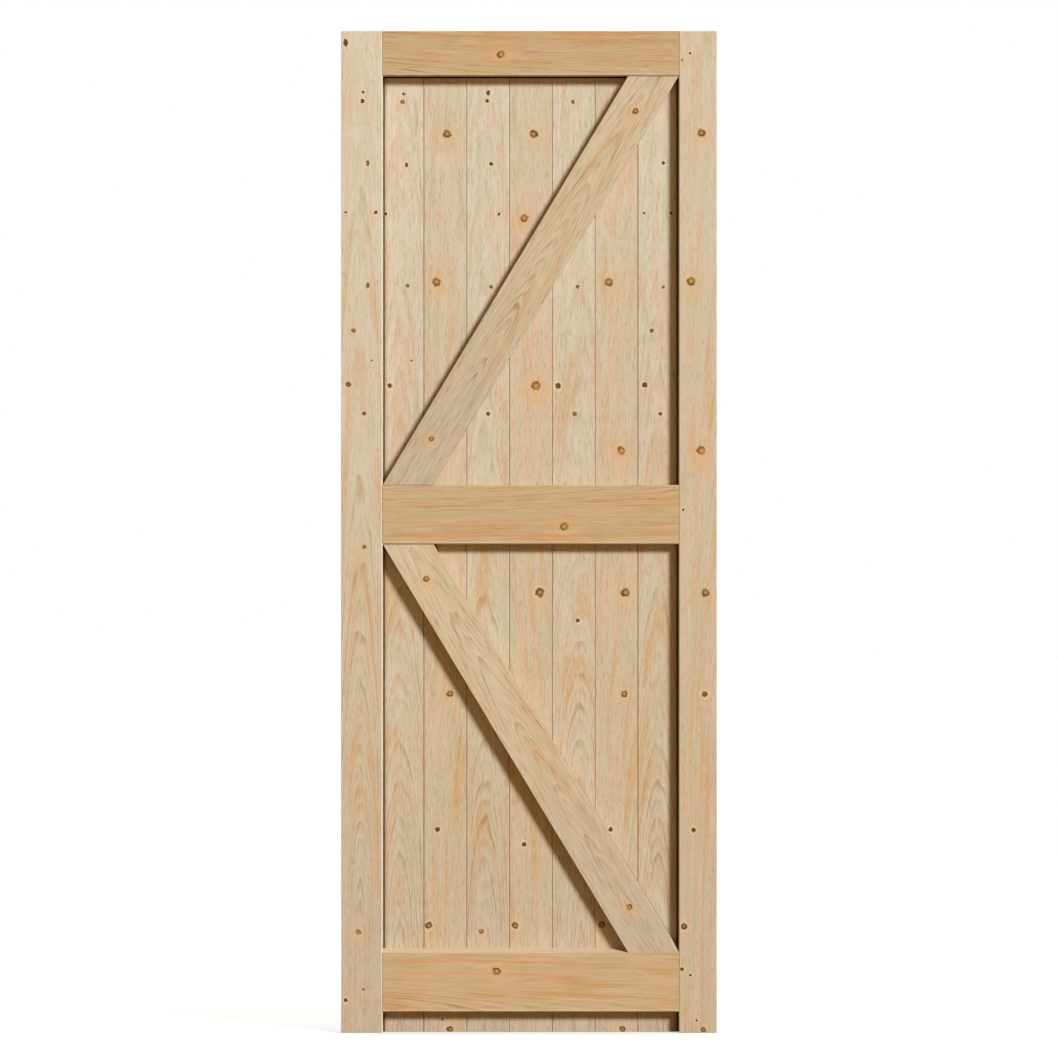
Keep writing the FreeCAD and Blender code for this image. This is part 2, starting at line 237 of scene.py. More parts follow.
# Colours as they look in plain light: red, green and blue from 0 to 255. A timber's tone is its pale
# and its warm streaks, the rosy and the cool drifts over them, its amber bands, and its late wood.
Tone = namedtuple("Tone", "pale warm blush cool amber late")
STILE_TONE = Tone(
    (228, 214, 190), (207, 180, 143), (226, 193, 161), (211, 201, 163), (218, 164, 108), (178, 132, 78)
)
BOARD_TONE = Tone(
    (228, 214, 191), (206, 180, 144), (225, 193, 162), (211, 200, 163), (217, 164, 109), (178, 132, 79)
)
ROSY_BOARD_TONE = Tone(
    (224, 207, 180), (206, 177, 139), (225, 187, 155), (208, 192, 152), (218, 162, 106), (174, 128, 77)
)
RAIL_TONE = Tone(
    (215, 190, 154), (202, 158, 106), (215, 170, 127), (201, 174, 118), (207, 147, 85), (160, 111, 60)
)
BRACE_TONE = Tone(
    (231, 213, 180), (214, 184, 144), (225, 193, 160), (212, 191, 153), (220, 169, 116), (156, 117, 73)
)
TONES = {
    "left_stile": STILE_TONE,
    "right_stile": ROSY_BOARD_TONE,
    **dict.fromkeys(RAILS, RAIL_TONE),
    **dict.fromkeys(BRACE_RUNS, BRACE_TONE),
    **dict.fromkeys(BOARDS[0::2], BOARD_TONE),
    **dict.fromkeys(BOARDS[1::2], ROSY_BOARD_TONE),
}
DEAD_KNOT = (92, 66, 28)
LIVE_KNOT = (188, 132, 66)
KNOT_RIM = (84, 48, 15)
KNOT_HEART = (212, 164, 98)
KNOT_HALO = (230, 170, 112)
KNOT_SURROUND = (242, 227, 198)
SAWN_END = (196, 158, 112)
DULL_FOOT = (208, 190, 166)
# The colour of the painted shade in joints, in corners and under the braces' heads.
JOINT_SHADE = (52, 30, 12)
DARK_ZINC = (106, 100, 91)
PALE_ZINC = (164, 156, 144)
# The colour of the painted highlight on the arrises.
ARRIS_HIGHLIGHT = (240, 226, 200)
PALE_WEDGE = (205, 172, 130)
WARM_WEDGE = (190, 152, 108)
LATE_WEDGE = (160, 112, 68)

# The share of red, green and blue light that the colour would keep at the full darkening towards
# the foot.
FOOT_DARKENED = (0.885, 0.875, 0.86, 1.0)


# Sections and stations

def eased_profile(corners, easing):
    """A closed outline, counter-clockwise, with rounded corners, and its outward normals.

    A corner with an easing becomes a circular arc that touches both of its sides. Each side between
    two arcs is divided evenly, with a short first and last stretch that keeps the shading crisp. Inside,
    a point is one complex number, so a turn about the arc's centre is a product.
    """
    corner = np.asarray(corners, float) @ (1, 1j)
    easing = np.broadcast_to(np.asarray(easing, float), len(corner))
    if np.sum(np.conj(corner) * np.roll(corner, -1)).imag < 0:
        corner = corner[::-1]
        easing = easing[::-1]
    to_last = np.roll(corner, 1) - corner
    to_next = np.roll(corner, -1) - corner
    to_last /= np.abs(to_last)
    to_next /= np.abs(to_next)
    half = 0.5 * np.abs(np.angle(to_next / to_last))
    arc_start = corner + to_last * easing / np.tan(half)
    arc_end = corner + to_next * easing / np.tan(half)
    runs = []
    for i in range(len(corner)):
        run = corner[i:i + 1]
        if easing[i] > 0:
            inward = to_last[i] + to_next[i]
            centre = corner[i] + inward / abs(inward) * easing[i] / math.sin(half[i])
            first = arc_start[i] - centre
            turn = np.angle((arc_end[i] - centre) / first)
            run = centre + first * np.exp(1j * turn * np.linspace(0, 1, ARC_STEPS + 1))
        runs.append(run)
        side = arc_start[(i + 1) % len(corner)] - arc_end[i]
        length = abs(side)
        if length > 4 * CRISP:
            count = max(1, math.ceil((length - 2 * CRISP) / ACROSS_STEP))
            runs.append(arc_end[i] + side / length * np.linspace(CRISP, length - CRISP, count + 1))
    outline = np.concatenate(runs)
    outward = -1j * (np.roll(outline, -1) - np.roll(outline, 1))
    return [np.column_stack([z.real, z.imag]) for z in (outline, outward / np.abs(outward))]


def stations(length, ease=END_EASE, stops=()):
    """Places along a piece, and how far the section draws in there. Both ends are eased by a quarter
    circle: the section is inset by 1 - sin of an angle that grows to a right angle over the easing.
    Between the ends the places are even, with the stops added."""
    angle = np.linspace(0, 0.5 * math.pi, ARC_STEPS)
    end_place = ease * (1 - np.cos(angle))
    end_inset = ease * (1 - np.sin(angle))
    count = max(2, round(length / ALONG_STEP))
    even = np.linspace(ease + CRISP, length - ease - CRISP, count + 1)
    stops = np.asarray(stops, float)
    if len(stops):
        clear = np.abs(even[:, None] - stops[None, :]).min(axis=1) > CRISP
        clear[[0, -1]] = True
        even = np.union1d(even[clear], stops)
    place = np.concatenate([end_place, even, length - end_place[::-1]])
    inset = np.concatenate([end_inset, np.zeros(len(even)), end_inset[::-1]])
    return place, inset


def upright(outline):
    """A section drawn as X and Y, laid level at the foot of the leaf."""
    return np.insert(outline, 2, 0.0, axis=1)


def sideways(outline):
    """A section drawn as Y and Z, stood in the plane of the leaf's left edge."""
    return np.insert(outline, 0, 0.0, axis=1)


def carried(start, end, outward, place, inset):
    """The grid of a section carried along a straight path: each point moves evenly from its place in
    the start section to its place in the end section, drawn in along its outward normal."""
    share = (place / place[-1])[:, None, None]
    return start + (end - start) * share - outward * inset[:, None, None]


def quads_of(index):
    """The quads of a grid of point numbers."""
    return np.stack([index[:-1, :-1], index[:-1, 1:], index[1:, 1:], index[1:, :-1]], axis=-1)


def carry(mesh, name, domain, values):
    """Writes a number or a vector for each point, corner or face of a mesh, under a name."""
    kind, part = ("FLOAT_VECTOR", "vector") if values.ndim == 2 else ("FLOAT", "value")
    mesh.attributes.new(name, kind, domain).data.foreach_set(part, values.astype(np.float32).ravel())


def placed(name, data):
    """A mesh, a lamp or a camera put into the scene as an object at the origin."""
    obj = bpy.data.objects.new(name, data)
    bpy.context.scene.collection.objects.link(obj)
    return obj


# Pieces of timber

class Timber:
    """A piece of timber in the making: closed shells of quads, and the lie of its grain.

    The grain's directions are a turn of the leaf's own axes about Y by the lean, in degrees: no lean
    is an upright piece, and a lean of 90 is a rail. Its origin is a point on the piece's middle line.
    """

    def __init__(self, name, origin, lean=0.0):
        self.name = name
        self.origin = np.array(origin, float)
        self.lean = math.radians(lean)
        self.points, self.inlets, self.painted_highlights = [], [], []
        self.quads, self.caps = [], []
        self.count = 0

    def in_grain(self, across, up):
        """A place on the leaf's face as distances across the grain and along it."""
        x = across - self.origin[0]
        z = up - self.origin[2]
        return (
            x * math.cos(self.lean) - z * math.sin(self.lean),
            x * math.sin(self.lean) + z * math.cos(self.lean),
        )

    def store(self, grid, inlet, painted_highlight):
        """Keeps a grid of points with their painted shade and painted highlight, and gives the grid of
        their numbers.
        """
        index = np.arange(grid[..., 0].size).reshape(grid.shape[:2]) + self.count
        self.points.append(grid.reshape(-1, 3))
        self.inlets.append(np.broadcast_to(inlet, index.shape).ravel())
        self.painted_highlights.append(np.broadcast_to(painted_highlight, index.shape).ravel())
        self.count += index.size
        return index

    def add(self, grid, inlet=0.0, painted_highlight=0.0, pockets=()):
        """Adds a tube of quads over a grid of stations by section points, with a flat cap at each end.

        The painted shade and the painted highlight say for each section point how dark it is painted,
        as shade in a joint or corner, and how pale its arris is painted, as a highlight. A pocket is a
        block of the grid, as its first and last station and section point, that is moved by a shift: its
        floor is the block itself, painted fully in shade, and its walls join the two rims.
        """
        index = self.store(grid, inlet, painted_highlight)
        quads = quads_of(np.concatenate([index, index[:, :1]], axis=1))
        kept = np.ones(quads.shape[:2], bool)
        for first, last, left, right, shift in pockets:
            block = np.s_[first:last + 1, left:right + 1]
            # A pocket's floor is painted fully in shade, with no highlight.
            floor = self.store(grid[block] + shift, 1.0, 0.0)
            kept[first:last, left:right] = False
            self.quads.append(quads_of(floor).reshape(-1, 4))
            rim, sunk_rim = [
                np.concatenate([b[0, :-1], b[:-1, -1], b[-1, :0:-1], b[:0:-1, 0]])
                for b in (index[block], floor)
            ]
            wall = np.stack([rim, np.roll(rim, -1), np.roll(sunk_rim, -1), sunk_rim], axis=-1)
            self.quads.append(wall)
        self.quads.append(quads[kept])
        self.caps.append(index[0, ::-1])
        self.caps.append(index[-1])

    def add_block(self, low, high, axis="x", ease=SHARP_EASE, inlet=0.0):
        """Adds a block with eased edges between two corners, carried along X or Z."""
        along = "xyz".index(axis)
        (near, back), (far, front) = np.delete(low, along), np.delete(high, along)
        outline, outward = eased_profile(slot_corners(near, far, back, front), ease)
        lay = sideways if axis == "x" else upright
        start, end = lay(outline), lay(outline)
        start[:, along] = low[along]
        end[:, along] = high[along]
        length = high[along] - low[along]
        self.add(carried(start, end, lay(outward), *stations(length, BLOCK_END_SHARE * ease)), inlet)

    def build(self, material):
        """The finished object, which carries on its mesh what its material reads: each point's place in
        the timber (across the grain, in from the braced face, along it), the knots, which faces are
        sawn ends, and each point's painted shade and painted highlight."""
        points = np.concatenate(self.points)
        quads = np.concatenate(self.quads)
        faces = quads.tolist() + [cap.tolist() for cap in self.caps]
        mesh = bpy.data.meshes.new(self.name)
        mesh.from_pydata(points * MM, [], faces)
        mesh.shade_smooth()
        ends = np.arange(len(faces)) >= len(quads)
        mesh.polygons.foreach_set("use_smooth", ~ends)
        mesh.set_sharp_from_angle(angle=CREASE)
        across, along = self.in_grain(points[:, 0], points[:, 2])
        carry(mesh, "timber", "POINT", np.column_stack([across, points[:, 1] - BRACED_FACE, along]))
        self.write_knots(mesh, points)
        carry(mesh, "end_grain", "FACE", ends)
        carry(mesh, "inlet", "POINT", np.concatenate(self.inlets))
        carry(mesh, "painted_highlight", "POINT", np.concatenate(self.painted_highlights))
        mesh.materials.append(material)
        mesh.update()
        return placed(f"{self.name}_timber", mesh)

    def write_knots(self, mesh, points):
        """For each corner of each face, the way to it from the knot that lies nearest the face's middle,
        measured in that knot's own size so that no two knots mix, and the knot's radius. For each
        face, how live that knot is."""
        knots = np.array([Knot(*knot) for knot in KNOTS[self.name]], float)
        heart_across, heart_along = self.in_grain(knots[:, 0], knots[:, 1])
        radius, life, stretch = knots[:, 2:].T
        corner_point = np.zeros(len(mesh.loops), np.int32)
        mesh.loops.foreach_get("vertex_index", corner_point)
        size = np.zeros(len(mesh.polygons), np.int32)
        mesh.polygons.foreach_get("loop_total", size)
        first = np.cumsum(size) - size
        across, along = self.in_grain(points[corner_point, 0], points[corner_point, 2])
        from_across = (np.add.reduceat(across, first) / size)[:, None] - heart_across
        from_along = (np.add.reduceat(along, first) / size)[:, None] - heart_along
        nearest = np.argmin(np.hypot(from_across, from_along / stretch) / radius, axis=1)
        mine = np.repeat(nearest, size)
        aside = across - heart_across[mine]
        beyond = (along - heart_along[mine]) / stretch[mine]
        carry(mesh, "knot", "CORNER", np.column_stack([aside, beyond, radius[mine]]))
        carry(mesh, "knot_life", "FACE", life[nearest])


def tenon_spans(rail, side):
    """For each tenon of a rail in one stile: the low and high Z of its mortise, wedges included, and
    of the tenon itself. The wedges lie in pairs below and above their tenon."""
    wedges = sorted(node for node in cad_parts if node.startswith(f"{rail}_{side}_wedge_"))
    spans = []
    for below, above in zip(wedges[0::2], wedges[1::2]):
        below_low, below_high = corners_of(below)
        above_low, above_high = corners_of(above)
        spans.append((below_low[2], above_high[2], below_high[2], above_low[2]))
    return spans


def joint_depth(y, shade=1.0):
    """How dark a point of the frame's inner edge is painted where it meets the panel, as painted shade.
    It rises to a shade over the last stretch before the boards, and from another shade it falls over
    the boarded face's vee."""
    near = shade * np.clip((y - BOARD_BACK + SEAM_LEAD) / SEAM_LEAD, 0, 1)
    vee = BOARDED_SHADE * np.clip((BOARDED_FACE - y) / VEE_FRONT, 0, 1)
    return np.where(y < TONGUE_FRONT, np.maximum(near, painted_corner_shade(y)), vee)


def painted_corner_shade(y):
    """How dark an edge that stands on the boards is painted, as shade growing evenly from its arris
    to the boards.
    """
    return CORNER_SHADE * np.clip((y - BRACED_FACE - FRAME_ARRIS) / (BOARD_BACK - BRACED_FACE), 0, 1)


def slot_corners(edge, bed, back, front):
    """Four corners in turn: of a groove or tongue from an edge to its bed, or of a plain section."""
    return [(edge, back), (bed, back), (bed, front), (edge, front)]


def dress_stile(side):
    """A stile: grooved and eased on its inner edge, with pockets in its outer edge where the ends of
    the tenons and wedges show."""
    low, high = (LEFT_LOW, LEFT_HIGH) if side == "left" else (RIGHT_LOW, RIGHT_HIGH)
    width = high[0] - low[0]

    def inward(distance):
        """The X of a place at a distance from the stile's outer edge."""
        return distance if side == "left" else high[0] - distance

    edge, shoulder = inward(0), inward(width)
    corners = [
        (edge, BRACED_FACE),
        (inward(width - FRAME_ARRIS), BRACED_FACE),
        (shoulder, BRACED_FACE + FRAME_ARRIS),
        *slot_corners(shoulder, inward(width - GROOVE_DEPTH), GROOVE_BACK, GROOVE_FRONT),
        (shoulder, BOARDED_FACE - VEE_FRONT),
        (inward(width - VEE_FRONT), BOARDED_FACE),
        (edge, BOARDED_FACE),
        (edge, TENON_FRONT + MORTISE_SLACK),
        (edge, TENON_BACK - MORTISE_SLACK),
    ]
    sharp = SHARP_EASE
    easing = [EASE, sharp, sharp, sharp, 0, 0, sharp, sharp, sharp, EASE, 0, 0]
    outline, outward = eased_profile(corners, easing)
    x, y = outline.T
    spans = [span for rail in RAILS for span in tenon_spans(rail, side)]
    rims = np.array([(s[0] - MORTISE_SLACK, s[1] + MORTISE_SLACK) for s in spans])
    place, inset = stations(HEAD, stops=rims.ravel())
    start = upright(outline)
    end = start + (0, 0, HEAD)
    within = np.abs(x - edge) < HAIR
    within &= y > TENON_BACK - MORTISE_SLACK - HAIR
    within &= y < TENON_FRONT + MORTISE_SLACK + HAIR
    columns = np.flatnonzero(within)
    shift = inward(MORTISE_SHOWN_DEPTH) - edge, 0, 0
    pockets = [(*np.searchsorted(place, rim), columns[0], columns[-1], shift) for rim in rims]
    in_from_shoulder = width - np.abs(x - edge)
    # Painted shade in the groove and on the inner edge by the boards, and a painted highlight on the
    # inner arris.
    shade = LEFT_STILE_SHADE if side == "left" else 1.0
    inlet = joint_depth(y, shade) * (in_from_shoulder < GROOVE_DEPTH + HAIR)
    painted_highlight = in_from_shoulder < FRAME_ARRIS + HAIR
    painted_highlight &= y < BRACED_FACE + FRAME_ARRIS + HAIR
    timber = Timber(f"{side}_stile", (0.5 * (low[0] + high[0]), 0, 0))
    grid = carried(start, end, upright(outward), place, inset)
    timber.add(grid, inlet, STILE_HIGHLIGHT * painted_highlight, pockets)
    return timber


def rail_section(rail):
    """A rail's section as corners in Y and Z with the easing of each."""
    if rail == "top_rail":
        groove = slot_corners(PANEL_HEAD, PANEL_HEAD + GROOVE_DEPTH, GROOVE_BACK, GROOVE_FRONT)
        corners = [
            (BRACED_FACE + FRAME_ARRIS, PANEL_HEAD),
            *[(y, z) for z, y in groove],
            (BOARDED_FACE - VEE_FRONT, PANEL_HEAD),
            (BOARDED_FACE, PANEL_HEAD + VEE_FRONT),
            (BOARDED_FACE, HEAD),
            (BRACED_FACE, HEAD),
            (BRACED_FACE, PANEL_HEAD + FRAME_ARRIS),
        ]
        return corners, [SHARP_EASE, 0, 0, 0, 0, SHARP_EASE, SHARP_EASE, EASE, EASE, SHARP_EASE]
    middle = rail == "middle_rail"
    low, high = (MIDDLE_LOW[2], MIDDLE_HIGH[2]) if middle else (BOTTOM_LOW[2], BOTTOM_HIGH[2])
    corners = [(BRACED_FACE + FRAME_ARRIS, low), (BOARD_BACK, low), (BOARD_BACK, high)]
    if middle:
        corners += [(BRACED_FACE + FRAME_ARRIS, high), (BRACED_FACE, high - FRAME_ARRIS)]
    else:
        corners.append((BRACED_FACE, high - BOTTOM_RAIL_FALL))
    corners.append((BRACED_FACE, low + FRAME_ARRIS))
    return corners, SHARP_EASE


def dress_rail(rail):
    """A rail between the stiles' shoulders, with its tenons running out to the stiles' outer edges,
    and on the top rail the tongues that close the heads of the stiles' grooves."""
    corners, easing = rail_section(rail)
    outline, outward = eased_profile(corners, easing)
    y, z = outline.T
    start = sideways(outline) + (LEFT_SHOULDER, 0, 0)
    end = sideways(outline) + (RIGHT_SHOULDER, 0, 0)
    heights = np.array(corners)[:, 1]
    timber = Timber(rail, (LEFT_SHOULDER, 0, 0.5 * (heights.min() + heights.max())), lean=90.0)
    # Painted shade on the edge that stands on the boards, and a painted highlight on the braced face
    # just above the lower arris.
    inlet = painted_corner_shade(y)
    on_face = y < BRACED_FACE + HAIR
    from_edge = z - heights.min() - FRAME_ARRIS
    painted_highlight = RAIL_HIGHLIGHT * on_face * np.clip(1 - from_edge / RAIL_HIGHLIGHT_WIDTH, 0, 1)
    # On the top rail, painted shade in the groove instead.
    if rail == "top_rail":
        inlet = joint_depth(y) * (z < PANEL_HEAD + GROOVE_DEPTH + HAIR)
    if rail == "bottom_rail":
        # On the bottom rail's slope, a painted highlight that also stands for the paler sawn wood, and
        # no painted shade.
        on_slope = z > BOTTOM_HIGH[2] - BOTTOM_RAIL_FALL - HAIR
        painted_highlight = np.maximum(painted_highlight, SLOPE_HIGHLIGHT * on_slope)
        inlet = inlet * ~on_slope
    grid = carried(start, end, sideways(outward), *stations(RIGHT_SHOULDER - LEFT_SHOULDER))
    timber.add(grid, inlet, painted_highlight)
    for side, edge, shoulder, out in (
        ("left", LEFT_LOW[0], LEFT_SHOULDER, -1),
        ("right", RIGHT_HIGH[0], RIGHT_SHOULDER, 1),
    ):
        root = shoulder - out * ROOT
        near, far = sorted((edge, root))
        for _, _, low, high in tenon_spans(rail, side):
            timber.add_block((near, TENON_BACK, low), (far, TENON_FRONT, high))
        if rail == "top_rail":
            near, far = sorted((shoulder + out * TONGUE_LENGTH, root))
            low, high = (near, TONGUE_BACK, PANEL_HEAD), (far, TONGUE_FRONT, HEAD)
            timber.add_block(low, high, "x", TONGUE_EASE)
    return timber


def brace_line(name):
    """The left end of a brace's foot cut and of its head cut, and the level length c of both cuts. The
    brace is b wide, square to its slope. It climbs by h and leans over by the panel's width w less c,
    so b is c h over the length of the slope. Squared, that is a quadratic in c, and c its positive
    root."""
    low, high, foot_side = BRACE_RUNS[name]
    width = RIGHT_SHOULDER - LEFT_SHOULDER
    steepness = (high - low)**2 - BRACE_WIDTH**2
    root = math.sqrt(BRACE_WIDTH**2 * width**2 + steepness * (width**2 + (high - low)**2))
    cut = BRACE_WIDTH * (root - BRACE_WIDTH * width) / steepness
    ends = LEFT_SHOULDER, RIGHT_SHOULDER - cut
    return (*ends, cut) if foot_side == "left" else (*ends[::-1], cut)


def dress_brace(name, fall):
    """A brace: a level section that leans across the panel as it climbs, so its ends stay level. A
    fall slopes its foot, which rises towards the boards."""
    low, high, _ = BRACE_RUNS[name]
    foot_x, head_x, cut = brace_line(name)
    outline, outward = eased_profile(slot_corners(foot_x, foot_x + cut, BRACED_FACE, BOARD_BACK), EASE)
    lean = math.degrees(math.atan2(head_x - foot_x, high - low))
    length = math.hypot(head_x - foot_x, high - low)
    shade_start = length - BRACE_HEAD_LENGTH
    place, inset = stations(length, stops=(shade_start,))
    start = upright(outline) + (0, 0, low)
    start[:, 2] += fall * (outline[:, 1] - BRACED_FACE) / (BOARD_BACK - BRACED_FACE)
    end = upright(outline) + (head_x - foot_x, 0, high)
    timber = Timber(name, (foot_x + 0.5 * cut, 0, low), lean)
    # Painted shade on the brace's edges that stand on the boards, and where its head meets the rail.
    at_head = BRACE_HEAD_SHADE * (place > shade_start + HAIR)
    inlet = np.maximum(painted_corner_shade(outline[:, 1]), at_head[:, None])
    timber.add(carried(start, end, upright(outward), place, inset), inlet)
    return timber


def board_section(left, right, left_tongue, right_tongue):
    """A board's section as corners in X and Y with the easing of each: tongued on the left, and on
    the right tongued where a tongue's length is given, or else grooved."""
    if right_tongue:
        right_edge = slot_corners(right, right + right_tongue, TONGUE_BACK, TONGUE_FRONT)
    else:
        right_edge = slot_corners(right, right - GROOVE_DEPTH, GROOVE_BACK, GROOVE_FRONT)
    corners = [
        (left + VEE_BACK, BOARD_BACK),
        (right - VEE_BACK, BOARD_BACK),
        (right, BOARD_BACK + VEE_BACK),
        *right_edge,
        (right, BOARDED_FACE - VEE_FRONT),
        (right - VEE_FRONT, BOARDED_FACE),
        (left + VEE_FRONT, BOARDED_FACE),
        (left, BOARDED_FACE - VEE_FRONT),
        *slot_corners(left, left - left_tongue, TONGUE_FRONT, TONGUE_BACK),
        (left, BOARD_BACK + VEE_BACK),
    ]
    vee = SHARP_EASE
    easing = [vee, vee, vee, 0, 0, 0, 0, vee, vee, vee, vee, 0, 0, 0, 0, vee]
    return corners, easing


def board_sides(name):
    """The left and right sides of a board's face, without its tongues."""
    low, high = corners_of(name)
    left = low[0] + (PANEL_TONGUE if name == BOARDS[0] else JOINT_REACH - BOARD_SWELL)
    right = high[0] - (PANEL_TONGUE if name == BOARDS[-1] else -BOARD_SWELL)
    return left, right


def dress_board(name):
    """A board, with the tongue at its head that goes up into the top rail."""
    number = BOARDS.index(name)
    first = number == 0
    last = number == len(BOARDS) - 1
    left_tongue = PANEL_TONGUE if first else TONGUE_LENGTH
    right_tongue = PANEL_TONGUE if last else 0.0
    left, right = board_sides(name)
    head = corners_of(name)[1][2]
    top = head - PANEL_TONGUE
    outline, outward = eased_profile(*board_section(left, right, left_tongue, right_tongue))
    x, y = outline.T
    start = upright(outline)
    end = start + (0, 0, top)
    # Painted shade in the vees and on the tongues, at each seam's own strength.
    behind_back = (y - BOARD_BACK) / VEE_BACK
    behind_front = (BOARDED_FACE - y) / VEE_FRONT
    from_left = x - left
    from_right = right - x
    seam = np.where(from_left < from_right, *SEAM_SHADES[number:number + 2])
    seam = np.where(y < TONGUE_FRONT, seam, 0.5 * BOARDED_SHADE)
    inlet = np.clip(np.minimum(behind_back, behind_front), 0, 1) * seam
    # Painted shade on the faces of the outer boards beside the stiles, fading over a few millimetres.
    if first or last:
        from_frame = from_left if first else from_right
        frame_side_shade = FRAME_SHADE * np.clip(1 - from_frame / FRAME_SHADE_WIDTH, 0, 1)
        inlet = np.maximum(inlet, frame_side_shade * (y < BOARD_BACK + VEE_BACK))
    timber = Timber(name, (0.5 * (left + right), 0, 0))
    timber.add(carried(start, end, upright(outward), *stations(top)), inlet)
    head_left = left - (PANEL_REACH if first else JOINT_REACH - BOARD_SWELL)
    head_right = right + PANEL_REACH if last else right - GROOVE_DEPTH
    low, high = (head_left, TONGUE_BACK, top - ROOT), (head_right, TONGUE_FRONT, head)
    # The head tongue, in the top rail's groove, is painted fully in shade.
    timber.add_block(low, high, "z", TONGUE_EASE, inlet=1.0)
    return timber


# Nails

def nail_places():
    """Where the boards are nailed, as X and Z: a high and a low nail a board into the middle and bottom
    rails, and one where the middle line of each brace passes the middle of the board."""
    sides = np.array([board_sides(name) for name in BOARDS])
    middle = sides.mean(axis=1)
    aside = NAIL_SPREAD * (sides[:, 1] - sides[:, 0])
    places = []
    for low, high in ((MIDDLE_LOW[2], MIDDLE_HIGH[2]), (BOTTOM_LOW[2], BOTTOM_HIGH[2])):
        level = np.full(len(middle), 0.5 * (low + high))
        places.append(np.column_stack([middle - aside, level + NAIL_STAGGER]))
        places.append(np.column_stack([middle + aside, level - NAIL_STAGGER]))
    for brace, (low, high, _) in BRACE_RUNS.items():
        foot_x, head_x, cut = brace_line(brace)
        share = (middle - foot_x - 0.5 * cut) / (head_x - foot_x)
        inside = np.abs(share - 0.5) < NAILED_RUN
        places.append(np.column_stack([middle, low + share * (high - low)])[inside])
    return np.concatenate(places)


def dress_nails():
    """The nails' heads on the boarded face, as one piece. A head is a circle carried up a quarter of an
    ellipse: at an angle a its radius is the rim's by cos a and its height the dome's by sin a. A ring
    sunk in the board closes it behind."""
    angle = np.radians(NAIL_ANGLES)
    radius = NAIL_RADIUS * np.cos(angle)
    rise = NAIL_DOME * np.sin(angle)
    rise[0] = -NAIL_SUNK
    turn = np.linspace(0, 2 * math.pi, NAIL_SIDES, endpoint=False)
    x = radius[:, None] * np.cos(turn)
    z = radius[:, None] * np.sin(turn)
    y = np.broadcast_to(BOARDED_FACE + rise[:, None], x.shape)
    head = np.stack([x, y, z], axis=-1).reshape(-1, 3)
    places = nail_places()
    shift = np.column_stack([places[:, 0], np.zeros(len(places)), places[:, 1]])
    points = (shift[:, None, :] + head[None, :, :]).reshape(-1, 3)
    index = np.arange(len(points)).reshape(len(places), len(angle), NAIL_SIDES)
    ahead = np.roll(index, -1, axis=2)
    quads = np.stack([index[:, :-1], index[:, 1:], ahead[:, 1:], ahead[:, :-1]], axis=-1)
    caps = np.concatenate([index[:, 0, :], index[:, -1, ::-1]])
    mesh = bpy.data.meshes.new("nails")
    mesh.from_pydata(points * MM, [], quads.reshape(-1, 4).tolist() + caps.tolist())
    mesh.shade_smooth()
    mesh.set_sharp_from_angle(angle=NAIL_CREASE)
    mesh.materials.append(dull_zinc())
    nails = placed("nails", mesh)
    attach(nails, "root")


# Materials

def linear(rgb):
    """A colour as it looks, from 0 to 255, as the shader's linear red, green and blue."""
    share = np.array(rgb, float) / 255.0
    low = share / 12.92
    high = ((share + 0.055) / 1.055) ** 2.4
    return (*np.where(share <= 0.04045, low, high), 1.0)


def feed(tree, node, inputs):
    """Puts a field, a socket or a plain value into each named input of a node."""
    for place, value in inputs.items():
        source = value.socket if isinstance(value, Field) else value
        if isinstance(source, bpy.types.NodeSocket):
            tree.links.new(source, node.inputs[place])
        else:
            node.inputs[place].default_value = source


def add_node(tree, kind, inputs=None, **settings):
    """A new node of a tree, with its settings made and then its inputs fed."""
    node = tree.nodes.new(f"ShaderNode{kind}")
    for setting, value in settings.items():
        setattr(node, setting, value)
    feed(tree, node, inputs or {})
    return node


class Field:
    """A number that varies over a surface, held as an output socket of a material's nodes. Arithmetic
    on fields adds Math nodes, so a formula reads here as it would on paper."""

    def __init__(self, tree, socket):
        self.tree = tree
        self.socket = socket

    def apply(self, operation, *operands):
        inputs = dict(enumerate((self, *operands)))
        return Field(self.tree, add_node(self.tree, "Math", inputs, operation=operation).outputs[0])

    def __add__(self, other):
        return self.apply("ADD", other)

    def __sub__(self, other):
        return self.apply("SUBTRACT", other)

    def __rsub__(self, other):
        return self.apply("MULTIPLY", -1.0) + other

    def __mul__(self, other):
        return self.apply("MULTIPLY", other)

    def __truediv__(self, other):
        return self.apply("DIVIDE", other)

    __radd__ = __add__
    __rmul__ = __mul__

    def rise(self, low, high):
        """0 below low, 1 above high, and a smooth step between."""
        inputs = {"Value": self, "From Min": low, "From Max": high}
        node = add_node(self.tree, "MapRange", inputs, interpolation_type="SMOOTHSTEP")
        return Field(self.tree, node.outputs["Result"])


def split(tree, vector):
    """The three numbers of a vector."""
    return [Field(tree, part) for part in add_node(tree, "SeparateXYZ", {0: vector}).outputs]


def carried_by_mesh(tree, name, kind="Fac"):
    """What the mesh carries under a name: a number, or a vector where that kind is asked for."""
    return add_node(tree, "Attribute", attribute_name=name).outputs[kind]


def place_on_leaf(tree):
    """X, Y and Z on the leaf, in millimetres."""
    return [part / MM for part in split(tree, add_node(tree, "TexCoord").outputs["Object"])]


def noise(x, y, z, detail):
    """Smooth noise about zero, from about -1 to 1, at a place given by three fields."""
    place = add_node(x.tree, "CombineXYZ", {0: x, 1: y, 2: z}).outputs[0]
    node = add_node(x.tree, "TexNoise", {"Scale": 1.0, "Detail": detail, "Vector": place})
    return (Field(x.tree, node.outputs[0]) - 0.5) * 2.0


def each_its_own(number):
    """A number from 0 to 1 that is different for each whole number, with no order."""
    node = add_node(number.tree, "TexWhiteNoise", {"W": number}, noise_dimensions="1D")
    return Field(number.tree, node.outputs["Value"])


